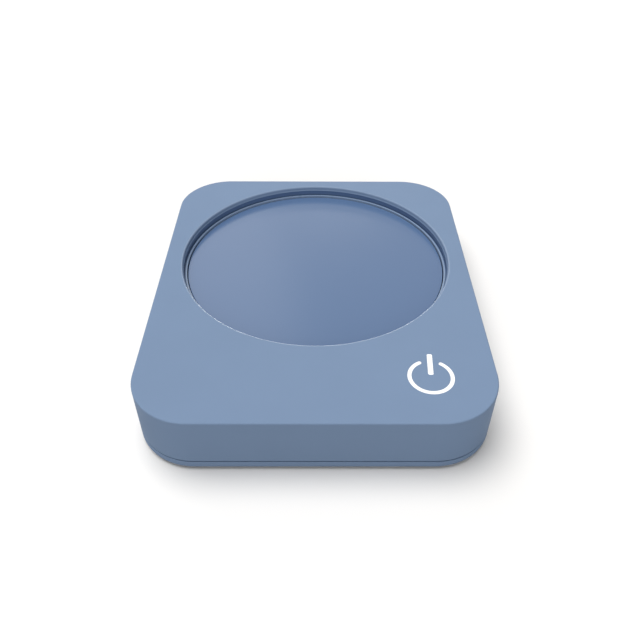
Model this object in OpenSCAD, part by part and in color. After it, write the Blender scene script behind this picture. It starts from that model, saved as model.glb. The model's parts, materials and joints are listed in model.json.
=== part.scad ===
// Electric mug warmer: a low housing with rounded corners, and a round heated plate that
// floats on springs in a recess and presses a switch under the weight of a mug.
// Frame: X to the right, Y to the back, Z up. The origin is on the table, under the centre
// of the housing. Lengths are in millimetres.

/* [Housing] */
// Width of the housing
body_w = 115; // [113:1:135]
// Depth of the housing, front to back
body_d = 140; // [138:1:165]
// Height of the housing above its own underside
body_h = 21.4; // [21:0.1:27]
// Radius of the upright corners
corner_r = 20; // [17:0.5:23]
// Rounding of the top outer edge
edge_r = 0.5; // [0.3:0.1:1]
// Wall of the top cover
cover_wall = 2.2; // [1.8:0.1:2.5]
// Skin of the top cover
cover_skin = 1.7; // [1.4:0.1:2.1]

/* [Base] */
// Height of the base's visible edge strip
strip_h = 3; // [2.6:0.1:3.6]
// Rounding of the base's bottom edge
base_edge_r = 1.2; // [0.6:0.1:1.6]
// Height of the shadow groove between base and cover
groove_h = 0.4; // [0.3:0.1:0.8]
// Depth of the shadow groove
groove_depth = 0.8; // [0.4:0.1:1.2]
// Floor of the base
base_floor = 2; // [1.6:0.1:2.4]
// Height of the spigot inside the cover
spigot_h = 2.2; // [1.6:0.1:2.8]
// Wall of the spigot
spigot_wall = 1.5; // [1.2:0.1:1.8]
// Gap between spigot and cover
fit_gap = 0.15; // [0.1:0.05:0.25]
// Distance of the housing screws from the corner face
screw_edge = 6.8; // [6.4:0.1:7.6]

/* [Feet] */
// Radius of a rubber foot
foot_r = 5; // [4:0.1:5.4]
// Height that a foot stands proud
foot_proud = 0.8; // [0.6:0.1:1.6]
// Depth of a foot's pocket in the base
foot_pocket = 0.8; // [0.5:0.1:1]

/* [Recess] */
// Radius of the opening in the cover
recess_r = 50.8; // [48:0.1:51]
// Rounding of the opening's rim
rim_r = 0.6; // [0.4:0.1:1]
// Width of the cover behind the opening
back_margin = 5.2; // [5:0.1:8]
// Reach of the small lip at the foot of the opening's wall
lip_w = 0.25; // [0.2:0.05:0.5]
// Height of the lip's slope
lip_h = 0.4; // [0.3:0.05:0.6]
// Distance that the collar's wall stands back behind the lip
collar_setback = 0.15; // [0.1:0.05:0.3]
// Wall of the collar
collar_wall = 1.6; // [1.4:0.1:2]
// Width of the collar's ledge around the trim ring
ledge_w = 0.4; // [0.3:0.1:0.6]
// Depth of that ledge below the top of the trim ring
ledge_drop = 0.5; // [0.3:0.1:0.8]
// Distance of the collar screws from the collar's outside
ear_reach = 4.4; // [4:0.1:4.6]
// Thickness of the collar's screw ears
ear_t = 1.6; // [1.2:0.1:2]
// Width of the trim ring around the plate
trim_w = 0.7; // [0.6:0.1:1]
// Height of the trim ring
trim_h = 1.5; // [1:0.1:2]
// Depth of the trim ring below the top of the cover
trim_depth = 3.7; // [3.2:0.1:4.2]
// Width of the collar's step that carries the trim ring
trim_seat = 0.5; // [0.4:0.1:0.6]

/* [Heated plate] */
// Depth of the glass below the top of the cover
plate_depth = 4.4; // [3.8:0.1:4.8]
// Running gap around the glass
plate_gap = 0.3; // [0.3:0.05:0.6]
// Thickness of the glass
glass_t = 3; // [2.5:0.1:3.2]
// Polished edge of the glass
glass_bevel = 0.35; // [0.2:0.05:0.6]
// Thickness of the silicone bond
bond_t = 0.4; // [0.3:0.1:0.6]
// Thickness of the heat spreader
spreader_t = 1.5; // [1:0.1:1.8]
// Thickness of the heating film
film_t = 0.4; // [0.2:0.1:0.5]
// Thickness of the insulation pad
pad_t = 2; // [1.8:0.1:2.4]
// Travel of the plate under a mug
travel = 1; // [0.6:0.1:1]

/* [Plate carrier] */
// Overhang of the glass past the carrier's dish
glass_overhang = 1.85; // [1.5:0.05:2]
// Wall of the dish
dish_wall = 2.6; // [2.2:0.1:3]
// Floor of the dish
dish_floor = 1.6; // [1.2:0.1:1.8]
// Gap between the dish and the heater stack
stack_gap = 0.6; // [0.4:0.1:1]
// Reach of the stop flange under the collar
stop_overlap = 1.5; // [1:0.1:1.6]
// Thickness of the stop flange
flange_t = 1.6; // [1.2:0.1:1.8]
// Height of the glass above the stop flange's top
flange_drop = 1.2; // [1:0.1:1.4]

/* [Guides and springs] */
// Radius of the guide post circle
guide_circle = 38; // [34:0.5:39]
// Radius of a guide post
post_r = 1.8; // [1.5:0.1:2]
// Running gap of a guide sleeve on its post
guide_gap = 0.08; // [0.05:0.01:0.1]
// Wall of a guide sleeve
sleeve_wall = 1.2; // [1:0.1:1.4]
// Radius of the spring wire
spring_wire = 0.35; // [0.25:0.05:0.4]
// Gap between a spring and its sleeve
spring_gap = 0.4; // [0.3:0.1:0.6]
// Turns of a spring
spring_turns = 4; // [3:1:5]

/* [Power symbol] */
// Distance of the symbol from the right side
symbol_side = 21.2; // [20.5:0.1:24]
// Distance of the symbol from the front
symbol_front = 19; // [18.5:0.5:20]
// Outer radius of the ring
ring_r = 7.4; // [6.5:0.1:7.6]
// Stroke of the ring
ring_stroke = 1.3; // [1:0.1:1.8]
// Half of the angle that the ring leaves open
ring_gap = 30; // [24:1:34]
// Width of the bar
bar_w = 1.7; // [1.2:0.1:2]
// Rounding of the bar's corners
bar_corner = 0.5; // [0.3:0.1:0.6]
// Lower end of the bar, above the ring's centre
bar_low = 0.8; // [0:0.1:2]
// Upper end of the bar, above the ring's centre
bar_high = 10; // [9:0.1:10.2]
// Turn of the symbol on the cover
symbol_turn = -4; // [-8:1:0]
// Border of the light guide's flange around the symbol
flange_border = 1.2; // [1:0.1:1.4]
// Thickness of the light guide's flange
guide_flange_t = 0.8; // [0.6:0.1:1.2]
// Wall of the light box
light_wall = 0.8; // [0.6:0.1:0.9]

/* [Control board] */
// Length of the control board
board_l = 84; // [78:1:86]
// Width of the control board
board_w = 22; // [21:0.5:23]
// Thickness of the control board
board_t = 1.6; // [1:0.1:1.8]
// Height of the control board above the floor
board_lift = 3.2; // [3:0.1:4]
// Distance of the board screws from the board's left end and long edges
board_hole = 3; // [2.6:0.1:3.4]
// Spacing of the board screws along the board
board_pitch = 57; // [54:1:58]

/* [Power inlet] */
// Height of the inlet's centre above the floor
inlet_lift = 4.6; // [4.5:0.1:5.2]
// Outer width of the inlet shell
inlet_w = 8.94; // [8.9:0.01:9]
// Outer height of the inlet shell
inlet_h = 3.16; // [3.1:0.01:3.2]
// Length of the inlet shell
inlet_l = 7.3; // [7:0.1:7.4]
// Depth of the inlet's mouth below the back face
inlet_setback = 0.4; // [0.2:0.1:0.8]
// Width of the inlet board
inlet_board_w = 16; // [15:0.5:20]
// Depth of the inlet board
inlet_board_d = 11; // [10.5:0.1:12]
// Thickness of the inlet board
inlet_board_t = 1; // [0.8:0.1:1.2]

/* [Switch] */
// Width of the switch body
switch_w = 12.8; // [11:0.1:14]
// Depth of the switch body
switch_d = 5.8; // [5:0.1:7]
// Height of the switch body
switch_h = 4.6; // [4.2:0.1:5]
// Height of the plunger above the switch body
plunger_up = 1.4; // [1.2:0.1:1.5]
// Radius of the plunger
plunger_r = 1.5; // [1.2:0.1:1.8]

/* [Hidden] */
$fn = 72;

shell_color = [0.53, 0.61, 0.72];
plate_color = [0.45, 0.53, 0.65];
collar_color = [0.27, 0.34, 0.44];
board_color = [0.1, 0.35, 0.22];
steel_color = [0.72, 0.73, 0.75];
copper_color = [0.8, 0.5, 0.3];
dark_color = [0.12, 0.12, 0.13];
white_color = [0.93, 0.94, 0.95];

// Overlap that joins two pieces of one solid, and reach of a cut past a face
join = 0.01;
cut = 1;

// Levels, from the table up
base_z = foot_proud;
floor_z = base_z + base_floor;
strip_z = base_z + strip_h;
seat_z = strip_z + groove_h;
spigot_z = seat_z + spigot_h;
top_z = base_z + body_h;
skin_z = top_z - cover_skin;
trim_top_z = top_z - trim_depth;
trim_z = trim_top_z - trim_h;
ledge_z = trim_top_z - ledge_drop;
glass_top_z = top_z - plate_depth;
glass_z = glass_top_z - glass_t;
rim_z = glass_z - bond_t;
spreader_z = glass_z - spreader_t;
film_z = spreader_z - film_t;
pad_z = film_z - pad_t;
carrier_z = pad_z - dish_floor;
flange_z = glass_z - flange_drop;

// Plan of the housing
spigot_inset = cover_wall + fit_gap;
inner_inset = spigot_inset + spigot_wall;
corner_x = body_w / 2 - corner_r;
corner_y = body_d / 2 - corner_r;
recess_y = body_d / 2 - back_margin - recess_r;

// Housing screws: one on the diagonal of each corner, under a foot
screw_diagonal = (corner_r - screw_edge) / sqrt(2);
screw_x = corner_x + screw_diagonal;
screw_y = corner_y + screw_diagonal;
base_boss_r = 3.8;
cover_boss_r = 2.8;
boss_h = 4.2;
boss_z = floor_z + boss_h;
head_seat = 3.6;
head_seat_z = base_z + head_seat;
housing_head_r = 2.5;
housing_head_h = 1.8;
housing_shank_r = 1.15;
housing_screw_l = 9;
hole_gap = 0.3;
pilot_gap = 0.05;
pilot_extra = 1;

// Recess, collar, trim ring and plate radii
throat_r = recess_r - lip_w;
collar_r = throat_r + collar_setback;
trim_fit = 0.05;
ledge_r = collar_r - ledge_w;
trim_outer_r = ledge_r - trim_fit;
trim_r = trim_outer_r - trim_w;
trim_seat_r = trim_outer_r - trim_seat;
collar_outer_r = collar_r + collar_wall;
ear_circle = collar_outer_r + ear_reach;
ear_link = ear_reach + collar_wall / 2;
ear_angles = [30, 150, 210, 330];
ear_r = 3;
ear_w = 2 * ear_r - 1;
collar_boss_r = 2.6;
collar_head_r = 1.9;
collar_head_h = 1.4;
collar_shank_r = 0.9;
collar_screw_l = 5;
glass_r = trim_r - plate_gap;
dish_r = glass_r - glass_overhang;
dish_inner_r = dish_r - dish_wall;
bond_border = 0.4;
stack_r = dish_inner_r - stack_gap;
film_border = 1.5;
film_r = stack_r - film_border;
flange_r = ledge_r + stop_overlap;

// Guides, springs and stops
guide_angles = [30, 150, 270];
sleeve_bore = post_r + guide_gap;
sleeve_r = sleeve_bore + sleeve_wall;
stop_h = 1;
stop_z = floor_z + stop_h;
sleeve_z = stop_z + travel;
post_gap = 0.4;
post_top_z = carrier_z - travel - post_gap;
spring_r = sleeve_r + spring_gap + spring_wire;
spring_low = floor_z + spring_wire;
spring_high = carrier_z - spring_wire;

// Switch under the centre of the plate
switch_z = floor_z + switch_h;
presser_z = switch_z + plunger_up;
presser_r = 3;
plunger_gap = 0.08;
plunger_sunk = 1.4;
plunger_room = 0.4;
cradle_gap = 0.15;
cradle_wall = 1;
cradle_h = 2;
terminal_x = 1.5;
terminal_w = 1.2;
terminal_t = 0.5;
terminal_l = 3;
terminal_z = floor_z + 1;

// Power symbol and light box
symbol_x = body_w / 2 - symbol_side;
symbol_y = symbol_front - body_d / 2;
symbol_gap = 0.04;
round_end_step = 0.02;
guide_flange_z = skin_z - guide_flange_t;
light_room = flange_border - light_wall;
rib_gap = 0.15;
rib_wall = 0.9;
rib_h = 1.6;

// Control board in the front bay, with its right end under the light box. Its left screws
// stand clear of the corner boss.
board_margin = 1.2;
board_post_r = 2.6;
notch_gap = 0.6;
board_z = floor_z + board_lift;
board_top_z = board_z + board_t;
board_right = symbol_x + ring_r + flange_border + board_margin;
board_left = board_right - board_l;
board_back = symbol_y + board_w / 2;
board_front = symbol_y - board_w / 2;
board_clear_x = base_boss_r + notch_gap + board_post_r - screw_x;
board_hole_x = max(board_left + board_hole, board_clear_x);
board_holes_x = [board_hole_x, board_hole_x + board_pitch];
board_holes_y = [board_front + board_hole, board_back - board_hole];
small_head_r = 1.9;
small_head_h = 1.2;
small_shank_r = 0.9;
board_bite = 2.4;
board_screw_l = board_t + board_bite;
led_circle = 5.4;
led_angles = [20, 110, 200, 290];
touch_wire = 0.25;
touch_r = 2.6;
touch_turns = 6;

// Parts on the control board: each place is its distance from the board's left screws and
// from its middle line
chip_place = [21, 2];
chip_x = board_hole_x + chip_place[0];
chip_y = symbol_y - chip_place[1];
chip_size = [9.8, 3.9, 1.4];
chip_lift = 0.2;
chip_legs = 7;
chip_pitch = 1.27;
chip_leg = [0.4, 1, 0.2];
transistor_place = [37, 1];
transistor_x = board_hole_x + transistor_place[0];
transistor_y = symbol_y - transistor_place[1];
transistor_size = [6.5, 6, 2.3];
transistor_tab = [5.2, 1.4, 0.5];
transistor_leg = [0.7, 2, 0.5];
transistor_spread = 2.3;
can_place = [50, 1.5];
can_x = board_hole_x + can_place[0];
can_y = symbol_y - can_place[1];
can_r = 3.15;
can_h = 7.6;
buzzer_place = [8, 0.5];
buzzer_x = board_hole_x + buzzer_place[0];
buzzer_y = symbol_y - buzzer_place[1];
buzzer_r = 4.5;
buzzer_h = 4;
buzzer_port_r = 0.8;
resistor_place = [27.5, 2.4];
resistor_x = board_hole_x + resistor_place[0];
resistor_y = board_front + resistor_place[1];
resistor_count = 7;
resistor_pitch = 2.6;
resistor_size = [1.2, 2, 0.5];
led_size = [1.6, 2.4, 0.8];
header_w = 6;
header_d = 4.4;
header_h = 4.8;
header_wall = 0.8;
header_floor = 3;
header_first = 8.5;
header_pitch = 13;
switch_header_x = board_hole_x + header_first;
sensor_header_x = switch_header_x + header_pitch;
heater_header_x = sensor_header_x + header_pitch;
power_header_x = heater_header_x + header_pitch;
header_places = [heater_header_x, sensor_header_x, power_header_x, switch_header_x];

// Power inlet at the middle of the back
inlet_z = floor_z + inlet_lift;
inlet_front = body_d / 2 - inlet_setback;
inlet_back = inlet_front - inlet_l;
shell_t = 0.25;
inlet_gap = 0.25;
tongue_w = 6.7;
tongue_h = 0.7;
tongue_base = 1.5;
tongue_tip = 0.6;
tongue_gap = 0.02;
leg_t = 0.3;
leg_w = 1.1;
leg_gap = 0.1;
leg_tail = 0.6;
leg_places = [0.9, 2.6];
inlet_board_gap = 0.3;
inlet_board_z = inlet_z - inlet_h / 2 - inlet_board_t;
inlet_board_y = body_d / 2 - inner_inset - inlet_board_gap;
inlet_board_front = inlet_board_y - inlet_board_d;
inlet_board_top_z = inlet_board_z + inlet_board_t;
inlet_hole = 2.4;
inlet_screw_x = inlet_board_w / 2 - inlet_hole;
inlet_screw_y = inlet_board_front + inlet_hole;
inlet_bite = 1.4;
inlet_screw_l = inlet_board_t + inlet_bite;
inlet_pilot = 1.8;
inlet_pad_r = 2.2;

// Leads
wire_r = 0.6;
wire_half = 1.25;
wire_sides = 8;
wire_steps = 4;
wire_end = 0.25;
wire_out = 2;
wire_lift = 1.2;
wire_out_z = board_top_z + wire_lift;
run_z = floor_z + wire_r + 0.2;
// Leads on the floor: where they come down behind the board, and their turns
drop_back = 10;
drop_shift = 1;
drop_z = floor_z + 1.4;
switch_turn = [20, 28];
switch_close = [6, 16];
switch_end_z = floor_z + 1.25;
inlet_turn = [9.6, 30];
inlet_side = [3, 20];
inlet_close = [6, 9];
inlet_last = [1, 1];
inlet_end = 2;
inlet_over = 1;
inlet_climb = 1.4;
// Leads to the plate: their turn behind the board, and their rise to the plate
lift_back = 6;
lift_z = floor_z + 2.6;
heater_shift = 5;
sensor_shift = 2;
rise_reach = [8, 0.6];
rise_low_z = floor_z + 2.2;
rise_drop = 2.3;
lead_x = 8;
heater_lead_x = lead_x;
sensor_lead_x = -lead_x;
lead_reach = 32;
lead_y = recess_y - lead_reach;
lead_window = [6.4, 4.4];
fuse_l = 8;
fuse_r = 0.85;
sensor_size = [4.4, 3.2, 1.7];
pad_hole_gap = 0.5;

// ---- Shared shapes ----

module rounded_rect(inset) {
    w = body_w - 2 * inset;
    d = body_d - 2 * inset;
    r = corner_r - inset;
    square([w - 2 * r, d], center = true);
    square([w, d - 2 * r], center = true);
    for (sx = [-1, 1], sy = [-1, 1])
        translate([sx * corner_x, sy * corner_y])
            circle(r);
}

module slab(inset, low, high) {
    translate([0, 0, low])
        linear_extrude(high - low)
            rounded_rect(inset);
}

// Half of the housing's section, from a centre line out to a face, with its top edge rounded
module edge_section(half, height, r) {
    square([half - r, height]);
    square([half, height - r]);
    translate([half - r, height - r])
        circle(r);
}

// Block with upright round corners and a rounded top edge
module soft_block(low, high, r) {
    height = high - low;
    translate([0, 0, low]) {
        for (sx = [-1, 1], sy = [-1, 1])
            translate([sx * corner_x, sy * corner_y])
                rotate_extrude()
                    edge_section(corner_r, height, r);
        for (turn = [0, 180])
            rotate([90, 0, turn])
                translate([0, 0, -corner_y])
                    linear_extrude(2 * corner_y)
                        edge_section(body_w / 2, height, r);
        for (turn = [90, 270])
            rotate([90, 0, turn])
                translate([0, 0, -corner_x])
                    linear_extrude(2 * corner_x)
                        edge_section(body_d / 2, height, r);
    }
}

module disc(r, low, high) {
    translate([0, 0, low])
        cylinder(r = r, h = high - low);
}

module ring(outer, inner, low, high) {
    difference() {
        disc(outer, low, high);
        disc(inner, low - cut, high + cut);
    }
}

module block(x, y, z, size) {
    translate([x - size[0] / 2, y - size[1] / 2, z])
        cube(size);
}

module at_corners() {
    for (sx = [-1, 1], sy = [-1, 1])
        translate([sx * screw_x, sy * screw_y, 0])
            children();
}

module at_recess() {
    translate([0, recess_y, 0])
        children();
}

module at_ears() {
    for (a = ear_angles)
        translate([ear_circle * cos(a), recess_y + ear_circle * sin(a), 0])
            children();
}

module at_guide(a) {
    translate([guide_circle * cos(a), recess_y + guide_circle * sin(a), 0])
        children();
}

module at_board_holes() {
    for (x = board_holes_x, y = board_holes_y)
        translate([x, y, 0])
            children();
}

module at_inlet_screws() {
    for (sx = [-1, 1])
        translate([sx * inlet_screw_x, inlet_screw_y, 0])
            children();
}

// Screw along Z whose head ends at level 0 and whose shank runs up from there
module screw(head_r, head_h, shank_r, length) {
    slot_w = head_r * 0.3;
    slot_l = head_r * 1.2;
    difference() {
        union() {
            disc(head_r, -head_h, 0);
            disc(shank_r, -join, length);
        }
        for (turn = [0, 90])
            rotate(turn)
                block(0, 0, -head_h - cut, [slot_w, slot_l, head_h * 0.5 + cut]);
    }
}

module stadium(w, h) {
    square([w - h, h], center = true);
    for (s = [-1, 1])
        translate([s * (w - h) / 2, 0])
            circle(h / 2);
}

// Tube swept along points, as one closed mesh of straight rings
function unit(v) = v / norm(v);
function heading(p, i) = unit(p[min(i + 1, len(p) - 1)] - p[max(i - 1, 0)]);
function side_of(t) = unit(abs(t[2]) < 0.9 ? cross(t, [0, 0, 1]) : cross(t, [1, 0, 0]));
function carried(side, t) = unit(side - (side * t) * t);
function sides_along(p, i) =
    i == 0 ? [side_of(heading(p, 0))]
    : let (before = sides_along(p, i - 1)) concat(before, [carried(before[i - 1], heading(p, i))]);

module tube(p, r) {
    last = len(p) - 1;
    sides = sides_along(p, last);
    points = [
        for (i = [0 : last])
            let (t = heading(p, i), u = sides[i], v = cross(t, u))
                for (k = [0 : wire_sides - 1])
                    let (a = 360 * k / wire_sides)
                        p[i] + r * cos(a) * u + r * sin(a) * v
    ];
    faces = concat(
        [[for (k = [wire_sides - 1 : -1 : 0]) last * wire_sides + k]],
        [[for (k = [0 : wire_sides - 1]) k]],
        [
            for (i = [0 : last - 1], k = [0 : wire_sides - 1])
                let (n = (k + 1) % wire_sides, a = i * wire_sides, b = a + wire_sides)
                    each [[a + k, b + k, b + n], [a + k, b + n, a + n]]
        ]
    );
    polyhedron(points, faces);
}

function coil(r, turns, low, high) = let (steps = 12 * turns) [
    for (i = [0 : steps])
        let (a = 360 * turns * i / steps)
            [r * cos(a), r * sin(a), low + (high - low) * i / steps]
];

// Smooth way through hand-set points: each stretch is a cubic through its two middle points
function spot(a, b, c, d, t) =
    0.5 * (2 * b + (c - a) * t + (2 * a - 5 * b + 4 * c - d) * t * t + (3 * b - a - 3 * c + d) * t * t * t);
function way(p, steps) = concat(
    [
        for (i = [0 : len(p) - 2], s = [0 : steps - 1])
            spot(p[max(i - 1, 0)], p[i], p[i + 1], p[min(i + 2, len(p) - 1)], s / steps)
    ],
    [p[len(p) - 1]]
);

module wire_pair(route) {
    for (s = [-1, 1])
        tube(way([for (q = route) [q[0] + s * wire_half, q[1], q[2]]], wire_steps), wire_r);
}

// Round cut along Z
module hole(r, low, high) {
    disc(r, low, high);
}

// ---- Housing ----

// C-shaped ring and bar of the symbol, widened by grow on every side
module symbol_shape(grow) {
    middle_r = ring_r - ring_stroke / 2;
    reach = 2 * ring_r;
    difference() {
        circle(ring_r + grow);
        circle(ring_r - ring_stroke - grow);
        polygon([[0, 0], [reach * tan(ring_gap), reach], [-reach * tan(ring_gap), reach]]);
    }
    for (s = [-1, 1])
        translate([s * middle_r * sin(ring_gap), middle_r * cos(ring_gap)])
            circle(ring_stroke / 2 + grow - round_end_step);
    bar_shape(grow);
}

// Bar with small round corners
module bar_shape(grow) {
    w = bar_w + 2 * grow;
    l = bar_high - bar_low + 2 * grow;
    r = bar_corner + grow;
    translate([0, (bar_low + bar_high) / 2]) {
        square([w - 2 * r, l], center = true);
        square([w, l - 2 * r], center = true);
        for (sx = [-1, 1], sy = [-1, 1])
            translate([sx * (w / 2 - r), sy * (l / 2 - r)])
                circle(r);
    }
}

// Closed outline around the whole symbol
module symbol_border(grow) {
    circle(ring_r + grow);
    translate([-bar_w / 2 - grow, 0])
        square([bar_w + 2 * grow, bar_high + grow]);
}

module at_symbol(z) {
    translate([symbol_x, symbol_y, z])
        rotate(symbol_turn)
            children();
}

// Cutter of the opening, which leaves a sloping lip at the foot of the wall
module throat() {
    at_recess()
        rotate_extrude()
            polygon([
                [0, skin_z - cut], [throat_r, skin_z - cut], [throat_r, skin_z],
                [recess_r, skin_z + lip_h], [recess_r, top_z + cut], [0, top_z + cut]
            ]);
}

// Cutter that rounds the rim of the opening
module rim_cutter() {
    at_recess()
        rotate_extrude()
            difference() {
                translate([recess_r - join, top_z - rim_r])
                    square([rim_r + join, rim_r + cut]);
                translate([recess_r + rim_r, top_z - rim_r])
                    circle(rim_r);
            }
}

module inlet_outline(grow) {
    translate([0, inlet_z])
        stadium(inlet_w + 2 * grow, inlet_h + 2 * grow);
}

module inlet_cut(grow) {
    translate([0, body_d / 2 + cut, 0])
        rotate([90, 0, 0])
            linear_extrude(inner_inset + 2 * cut)
                inlet_outline(grow);
}

module top_cover() {
    color(shell_color)
    difference() {
        union() {
            difference() {
                soft_block(seat_z, top_z, edge_r);
                slab(cover_wall, seat_z - cut, skin_z);
            }
            at_corners()
                disc(cover_boss_r, boss_z, skin_z + join);
            at_ears()
                disc(collar_boss_r, flange_z + ear_t, skin_z + join);
            at_symbol(skin_z - rib_h)
                linear_extrude(rib_h + join)
                    symbol_border(flange_border + rib_gap + rib_wall);
        }
        throat();
        rim_cutter();
        at_symbol(skin_z - rib_h - cut)
            linear_extrude(rib_h + cut)
                symbol_border(flange_border + rib_gap);
        at_symbol(skin_z - cut)
            linear_extrude(cover_skin + 2 * cut)
                symbol_shape(symbol_gap);
        at_corners()
            hole(housing_shank_r + pilot_gap, boss_z - cut, head_seat_z + housing_screw_l + pilot_extra);
        at_ears()
            hole(collar_shank_r + pilot_gap, flange_z, flange_z + collar_screw_l + pilot_extra / 2);
        inlet_cut(inlet_gap);
    }
}

module board_posts() {
    at_board_holes()
        disc(board_post_r, floor_z - join, board_z);
}

// Edge strip and floor of the base, with a rounded bottom edge
module base_block() {
    mirror([0, 0, 1])
        soft_block(-strip_z, -base_z, base_edge_r);
}

module base_cover() {
    color(shell_color)
    difference() {
        union() {
            difference() {
                union() {
                    base_block();
                    slab(groove_depth, strip_z - join, seat_z);
                    slab(spigot_inset, seat_z - join, spigot_z);
                }
                slab(inner_inset, floor_z, spigot_z + cut);
            }
            intersection() {
                at_corners()
                    disc(base_boss_r, floor_z - join, boss_z);
                slab(spigot_inset, floor_z - cut, boss_z + cut);
            }
            board_posts();
            at_inlet_screws()
                disc(inlet_pad_r, floor_z - join, inlet_board_z);
            for (a = guide_angles)
                at_guide(a) {
                    disc(sleeve_r, floor_z - join, stop_z);
                    disc(post_r, floor_z - join, post_top_z);
                }
            at_recess()
                switch_cradle();
        }
        at_corners() {
            hole(foot_r, base_z - cut, base_z + foot_pocket);
            hole(housing_head_r + hole_gap, base_z - cut, head_seat_z);
            hole(housing_shank_r + hole_gap, base_z - cut, boss_z + cut);
        }
        at_board_holes()
            hole(small_shank_r + pilot_gap, board_top_z - board_screw_l - pilot_extra / 2, board_z + cut);
        at_inlet_screws()
            hole(small_shank_r + pilot_gap, inlet_board_z - inlet_pilot, inlet_board_z + cut);
        inlet_cut(inlet_gap);
    }
}

// Low fence around the switch, open at the front for its terminals
module switch_cradle() {
    inner_w = switch_w + 2 * cradle_gap;
    inner_d = switch_d + 2 * cradle_gap;
    gate_w = 2 * (terminal_x + wire_half) + 2;
    difference() {
        block(0, 0, floor_z - join, [inner_w + 2 * cradle_wall, inner_d + 2 * cradle_wall, cradle_h + join]);
        block(0, 0, floor_z - 2 * join, [inner_w, inner_d, cradle_h + cut]);
        block(0, -inner_d / 2, floor_z - 2 * join, [gate_w, 4 * cradle_wall, cradle_h + cut]);
    }
}

module recess_collar() {
    color(collar_color)
    difference() {
        union() {
            at_recess()
                disc(collar_outer_r, flange_z, skin_z);
            for (a = ear_angles)
                at_recess()
                    rotate(a)
                        block(ear_circle - ear_link / 2, 0, flange_z, [ear_link, ear_w, ear_t]);
            at_ears()
                disc(ear_r, flange_z, flange_z + ear_t);
        }
        at_recess() {
            disc(trim_seat_r, flange_z - cut, skin_z + cut);
            disc(ledge_r, trim_z, skin_z + cut);
            disc(collar_r, ledge_z, skin_z + cut);
        }
        at_ears()
            hole(collar_shank_r + hole_gap, flange_z - cut, flange_z + ear_t + cut);
    }
}

// Pale ring that frames the plate, on a step of the collar
module trim_ring() {
    color(shell_color)
    at_recess()
        ring(trim_outer_r, trim_r, trim_z, trim_top_z);
}

module collar_screws() {
    color(steel_color)
    at_ears()
        translate([0, 0, flange_z])
            screw(collar_head_r, collar_head_h, collar_shank_r, collar_screw_l);
}

module housing_screws() {
    color(steel_color)
    at_corners()
        translate([0, 0, head_seat_z])
            screw(housing_head_r, housing_head_h, housing_shank_r, housing_screw_l);
}

module foot(sx, sy) {
    bevel = 0.3;
    side_r = foot_r - bevel;
    top = base_z + foot_pocket;
    color(dark_color)
    translate([sx * screw_x, sy * screw_y, 0])
        rotate_extrude()
            polygon([[0, 0], [side_r - bevel, 0], [side_r, bevel], [side_r, top], [0, top]]);
}

module power_symbol() {
    color(white_color)
    at_symbol(0) {
        translate([0, 0, guide_flange_z])
            linear_extrude(guide_flange_t)
                symbol_border(flange_border);
        translate([0, 0, skin_z - join])
            linear_extrude(cover_skin + join)
                symbol_shape(0);
    }
}

module light_box() {
    color(white_color)
    at_symbol(board_top_z)
        linear_extrude(guide_flange_z - board_top_z)
            difference() {
                symbol_border(flange_border);
                symbol_border(light_room);
            }
}

module touch_spring() {
    color(steel_color)
    at_symbol(0)
        tube(coil(touch_r, touch_turns, board_top_z + touch_wire, guide_flange_z - touch_wire), touch_wire);
}

module symbol_leds() {
    color([0.95, 0.93, 0.8])
    for (a = led_angles)
        at_symbol(board_top_z)
            rotate(a)
                block(led_circle, 0, 0, led_size);
}

// ---- Control board ----

module control_board() {
    color(board_color)
    difference() {
        translate([board_left, board_front, board_z])
            cube([board_l, board_w, board_t]);
        at_corners()
            hole(base_boss_r + notch_gap, board_z - cut, board_top_z + cut);
        at_board_holes()
            hole(small_shank_r + hole_gap, board_z - cut, board_top_z + cut);
    }
}

module controller_chip() {
    leg_y = chip_size[1] / 2 + chip_leg[1] / 2;
    color(dark_color)
    translate([chip_x, chip_y, board_top_z]) {
        block(0, 0, chip_lift, chip_size);
        for (s = [-1, 1], i = [0 : chip_legs - 1])
            translate([(i - (chip_legs - 1) / 2) * chip_pitch, s * leg_y, 0]) {
                block(0, 0, 0, chip_leg);
                block(0, -s * leg_y / 6, 0, [chip_leg[0], chip_leg[1] / 3, chip_size[2] / 2]);
            }
    }
}

module heater_transistor() {
    body_w2 = transistor_size[1] / 2;
    color(dark_color)
    translate([transistor_x, transistor_y, board_top_z]) {
        block(0, 0, 0, transistor_size);
        block(0, body_w2 + transistor_tab[1] / 2 - join, 0, transistor_tab);
        for (s = [-1, 1])
            block(s * transistor_spread, -body_w2 - transistor_leg[1] / 2 + join, 0, transistor_leg);
    }
}

module board_capacitor() {
    color([0.2, 0.22, 0.3])
    translate([can_x, can_y, 0])
        disc(can_r, board_top_z, board_top_z + can_h);
}

module buzzer() {
    color(dark_color)
    translate([buzzer_x, buzzer_y, 0])
        ring(buzzer_r, buzzer_port_r, board_top_z, board_top_z + buzzer_h);
}

module board_resistors() {
    color([0.3, 0.25, 0.2])
    for (i = [0 : resistor_count - 1])
        block(resistor_x + resistor_pitch * i, resistor_y, board_top_z, resistor_size);
}

module wire_headers() {
    header_room_w = header_w - 2 * header_wall;
    header_room_d = header_d - 2 * header_wall;
    color(white_color)
    for (x = header_places)
        translate([x, board_back - header_d / 2, board_top_z])
            difference() {
                block(0, 0, 0, [header_w, header_d, header_h]);
                block(0, 0, header_floor, [header_room_w, header_room_d, header_h]);
            }
}

module board_screws() {
    color(steel_color)
    at_board_holes()
        translate([0, 0, board_top_z])
            rotate([180, 0, 0])
                screw(small_head_r, small_head_h, small_shank_r, board_screw_l);
}

// ---- Power inlet ----

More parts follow.
